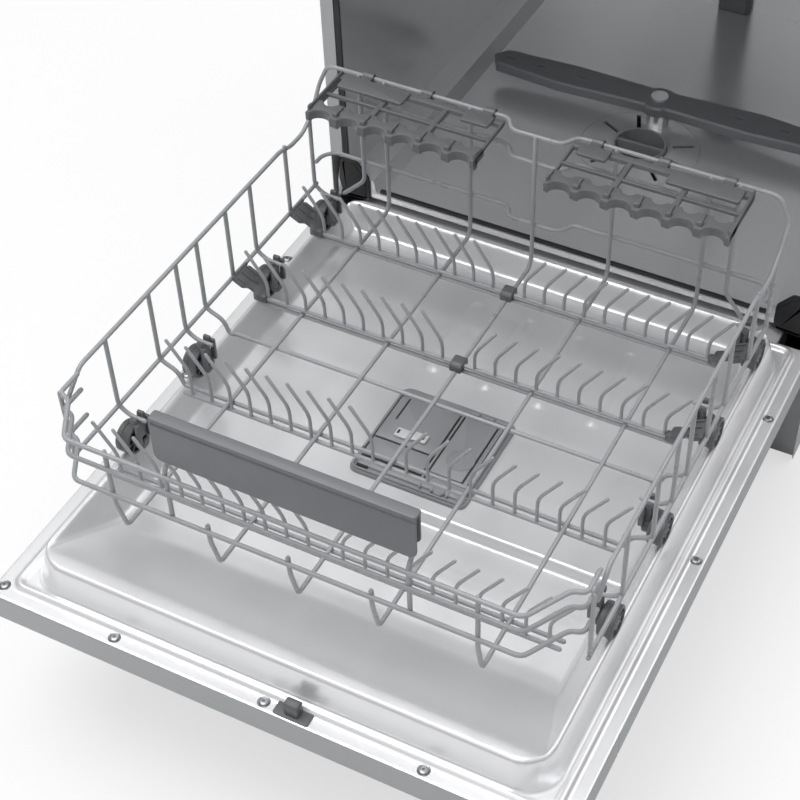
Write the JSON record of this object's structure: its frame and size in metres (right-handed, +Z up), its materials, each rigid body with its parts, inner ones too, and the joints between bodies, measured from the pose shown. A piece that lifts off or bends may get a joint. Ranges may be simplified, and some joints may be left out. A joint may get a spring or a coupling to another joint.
{
  "type": "dishwasher",
  "caption": "Dishwasher with its door lowered and its lower rack out: steel tub, wire racks, folding tines, cup shelves, rack wheels, spray arms.",
  "frame": {"origin": "on the floor, middle of the space taken with the door open", "axes": "+Z up, +X to the right seen from the front, +Y from the door's free end to the back"},
  "size_m": [0.598, 1.252, 0.888],
  "materials": {
    "steel": "satin pressed stainless steel",
    "rack_wire": "grey nylon-coated wire",
    "side_paint": "light grey coated sheet",
    "door_paint": "dark grey coated sheet",
    "black_plastic": "black moulded",
    "hinge_steel": "zinc-plated",
    "seal_rubber": "black rubber",
    "grey_plastic": "dark grey moulded",
    "handle_plastic": "grey moulded",
    "button_plastic": "grey moulded, glossy"
  },
  "bodies": {
    "cabinet": {"tub": "steel", "tub_seal": "seal_rubber", "lip_seal": "seal_rubber", "side_panel_left": "side_paint", "side_panel_right": "side_paint", "top_cover": "side_paint", "back_panel": "side_paint", "base_pan": "black_plastic", "kick_plate": "door_paint", "levelling_feet": "black_plastic", "hinge_brackets": "hinge_steel", "hinge_covers": "black_plastic", "sump": "black_plastic", "filter_plate": "steel", "feed_pipe": "handle_plastic", "wash_pump": "black_plastic", "drain_pump": "black_plastic", "inlet_valve": "grey_plastic", "rack_rails": "hinge_steel"},
    "door": {"inner_door": "steel", "outer_door": "door_paint", "control_panel": "door_paint", "door_screws": "hinge_steel", "door_latch": "black_plastic", "hinge_arms": "hinge_steel", "dispenser_body": "grey_plastic"},
    "dispenser_lid": {"dispenser_lid": "grey_plastic"},
    "rinse_cap": {"rinse_cap": "button_plastic"},
    "lower_rack": {"lower_rack_floor": "rack_wire", "lower_rack_front": "rack_wire", "lower_rack_left": "rack_wire", "lower_rack_right": "rack_wire", "lower_rack_rear": "rack_wire", "fixed_tine_rows": "rack_wire", "rack_handle": "handle_plastic", "wheel_carriers": "grey_plastic", "tine_locks": "grey_plastic", "tine_clips": "grey_plastic"},
    "third_tine_row": {"third_tine_row": "rack_wire"},
    "rear_tine_row": {"rear_tine_row": "rack_wire"},
    "cup_shelf_left": {"cup_shelf_left": "handle_plastic"},
    "cup_shelf_right": {"cup_shelf_right": "handle_plastic"},
    "upper_rack": {"upper_rack_floor": "rack_wire", "upper_rack_walls": "rack_wire", "upper_rack_brackets": "grey_plastic"},
    "upper_slides": {"upper_slides": "hinge_steel"},
    "lower_spray_arm": {"lower_spray_arm": "handle_plastic"},
    "upper_spray_arm": {"upper_spray_arm": "handle_plastic"},
    "filter_cup": {"filter_cup": "grey_plastic"},
    "left_wheel_1": {"left_wheel_1": "grey_plastic"},
    "left_wheel_2": {"left_wheel_2": "grey_plastic"},
    "left_wheel_3": {"left_wheel_3": "grey_plastic"},
    "left_wheel_4": {"left_wheel_4": "grey_plastic"},
    "right_wheel_1": {"right_wheel_1": "grey_plastic"},
    "right_wheel_2": {"right_wheel_2": "grey_plastic"},
    "right_wheel_3": {"right_wheel_3": "grey_plastic"},
    "right_wheel_4": {"right_wheel_4": "grey_plastic"},
    "power_button": {"power_button": "button_plastic"},
    "program_button": {"program_button": "button_plastic"},
    "start_button": {"start_button": "button_plastic"}
  },
  "joints": [
    {"name": "door_hinge", "type": "hinge", "parent": "cabinet", "child": "door", "pos_m": [0, 0.056, 0.202], "axis": [-1, 0, 0], "range_deg": [-1.5, 0]},
    {"name": "lower_rack_slide", "type": "slide", "parent": "cabinet", "child": "lower_rack", "axis": [0, 1, 0], "range_m": [0, 0.64]},
    {"name": "left_wheel_1_axle", "type": "hinge", "parent": "lower_rack", "child": "left_wheel_1", "pos_m": [-0.255, -0.436, 0.2383], "axis": [1, 0, 0], "range_deg": [-2200, 10]},
    {"name": "right_wheel_1_axle", "type": "hinge", "parent": "lower_rack", "child": "right_wheel_1", "pos_m": [0.255, -0.436, 0.2383], "axis": [1, 0, 0], "range_deg": [-2200, 10]},
    {"name": "left_wheel_2_axle", "type": "hinge", "parent": "lower_rack", "child": "left_wheel_2", "pos_m": [-0.255, -0.317, 0.2383], "axis": [1, 0, 0], "range_deg": [-2200, 10]},
    {"name": "right_wheel_2_axle", "type": "hinge", "parent": "lower_rack", "child": "right_wheel_2", "pos_m": [0.255, -0.317, 0.2383], "axis": [1, 0, 0], "range_deg": [-2200, 10]},
    {"name": "left_wheel_3_axle", "type": "hinge", "parent": "lower_rack", "child": "left_wheel_3", "pos_m": [-0.255, -0.179, 0.2383], "axis": [1, 0, 0], "range_deg": [-2200, 10]},
    {"name": "right_wheel_3_axle", "type": "hinge", "parent": "lower_rack", "child": "right_wheel_3", "pos_m": [0.255, -0.179, 0.2383], "axis": [1, 0, 0], "range_deg": [-2200, 10]},
    {"name": "left_wheel_4_axle", "type": "hinge", "parent": "lower_rack", "child": "left_wheel_4", "pos_m": [-0.255, -0.055, 0.2383], "axis": [1, 0, 0], "range_deg": [-2200, 10]},
    {"name": "right_wheel_4_axle", "type": "hinge", "parent": "lower_rack", "child": "right_wheel_4", "pos_m": [0.255, -0.055, 0.2383], "axis": [1, 0, 0], "range_deg": [-2200, 10]},
    {"name": "third_tine_row_fold", "type": "hinge", "parent": "lower_rack", "child": "third_tine_row", "pos_m": [0, -0.226, 0.2632], "axis": [1, 0, 0], "range_deg": [0, 74]},
    {"name": "rear_tine_row_fold", "type": "hinge", "parent": "lower_rack", "child": "rear_tine_row", "pos_m": [0, -0.108, 0.2632], "axis": [1, 0, 0], "range_deg": [0, 82]},
    {"name": "cup_shelf_left_fold", "type": "hinge", "parent": "lower_rack", "child": "cup_shelf_left", "pos_m": [0, -0.031, 0.4253], "axis": [-1, 0, 0], "range_deg": [0, 85]},
    {"name": "cup_shelf_right_fold", "type": "hinge", "parent": "lower_rack", "child": "cup_shelf_right", "pos_m": [0, -0.031, 0.4253], "axis": [-1, 0, 0], "range_deg": [0, 85]},
    {"name": "upper_rack_slide", "type": "slide", "parent": "cabinet", "child": "upper_rack", "axis": [0, -1, 0], "range_m": [0, 0.45]},
    {"name": "upper_slides_travel", "type": "slide", "parent": "cabinet", "child": "upper_slides", "axis": [0, -1, 0], "range_m": [0, 0.225]},
    {"name": "lower_spray_arm_spin", "type": "hinge", "parent": "cabinet", "child": "lower_spray_arm", "pos_m": [0, 0.3295, 0.22], "axis": [0, 0, 1], "continuous": true},
    {"name": "upper_spray_arm_spin", "type": "hinge", "parent": "upper_rack", "child": "upper_spray_arm", "pos_m": [0, 0.3295, 0.548], "axis": [0, 0, 1], "continuous": true},
    {"name": "dispenser_lid_slide", "type": "slide", "parent": "door", "child": "dispenser_lid", "axis": [0, 1, 0], "range_m": [0, 0.032]},
    {"name": "rinse_cap_turn", "type": "hinge", "parent": "door", "child": "rinse_cap", "pos_m": [0.037, -0.296, 0.202], "axis": [0, 0, 1], "range_deg": [0, 90]},
    {"name": "filter_cup_turn", "type": "hinge", "parent": "cabinet", "child": "filter_cup", "pos_m": [0, 0.2695, 0.198], "axis": [0, 0, 1], "range_deg": [0, 60]},
    {"name": "power_button_press", "type": "slide", "parent": "door", "child": "power_button", "axis": [0, 0, 1], "range_m": [0, 0.0025], "stiffness_N_per_m": 300},
    {"name": "program_button_press", "type": "slide", "parent": "door", "child": "program_button", "axis": [0, 0, 1], "range_m": [0, 0.0025], "stiffness_N_per_m": 300},
    {"name": "start_button_press", "type": "slide", "parent": "door", "child": "start_button", "axis": [0, 0, 1], "range_m": [0, 0.0025], "stiffness_N_per_m": 300}
  ],
  "couplings": [
    {"joint": "left_wheel_1_axle", "follows": "lower_rack_slide", "rad_per_m": -58.824},
    {"joint": "left_wheel_2_axle", "follows": "lower_rack_slide", "rad_per_m": -58.824},
    {"joint": "left_wheel_3_axle", "follows": "lower_rack_slide", "rad_per_m": -58.824},
    {"joint": "left_wheel_4_axle", "follows": "lower_rack_slide", "rad_per_m": -58.824},
    {"joint": "right_wheel_1_axle", "follows": "lower_rack_slide", "rad_per_m": -58.824},
    {"joint": "right_wheel_2_axle", "follows": "lower_rack_slide", "rad_per_m": -58.824},
    {"joint": "right_wheel_3_axle", "follows": "lower_rack_slide", "rad_per_m": -58.824},
    {"joint": "right_wheel_4_axle", "follows": "lower_rack_slide", "rad_per_m": -58.824},
    {"joint": "upper_slides_travel", "follows": "upper_rack_slide", "ratio": 0.5}
  ]
}
